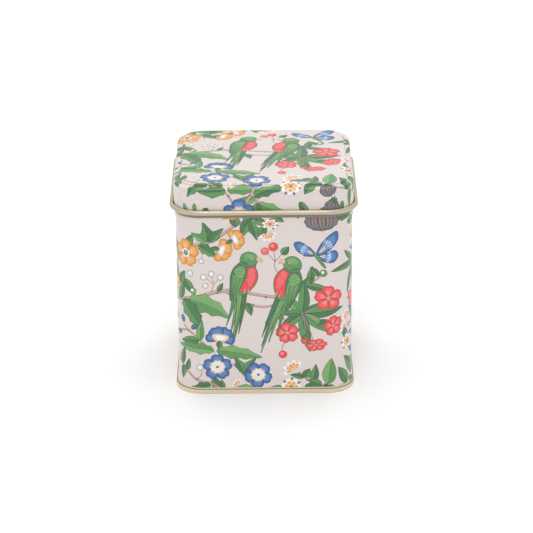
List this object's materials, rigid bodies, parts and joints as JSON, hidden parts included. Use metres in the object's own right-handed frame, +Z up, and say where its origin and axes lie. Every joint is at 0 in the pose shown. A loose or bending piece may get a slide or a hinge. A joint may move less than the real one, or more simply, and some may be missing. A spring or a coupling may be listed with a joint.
{
  "type": "square slip-lid tin",
  "caption": "Square printed tinplate powder tin with a slip-on lid, a seamed base and a drop-in perforated sifter tray.",
  "frame": {"origin": "centre of the resting face", "axes": "+Z up through the lid, -Y out of the front face, +X to the right seen from the front"},
  "size_m": [0.081, 0.081, 0.0965],
  "materials": {
    "printed_tinplate_body": null,
    "gold_lacquered_base": "pale gold lacquer over tinplate, semi-gloss",
    "printed_tinplate_lid": null,
    "bare_tinplate": "bright rolled tinplate",
    "turned_aluminium": "fine turned aluminium",
    "rivet_metal": "tinned steel rivet"
  },
  "bodies": {
    "tin_body": {"body_wall": "printed_tinplate_body", "base_end": "gold_lacquered_base"},
    "sifter": {"sifter_tray": "bare_tinplate", "lift_knob": "turned_aluminium", "knob_rivet": "rivet_metal"},
    "lid": {"lid": "printed_tinplate_lid"}
  },
  "joints": [
    {"name": "sifter_lift", "type": "slide", "parent": "tin_body", "child": "sifter", "axis": [0, 0, 1], "range_m": [0, 0.03]},
    {"name": "lid_lift", "type": "slide", "parent": "sifter", "child": "lid", "axis": [0, 0, 1], "range_m": [0, 0.045]}
  ]
}
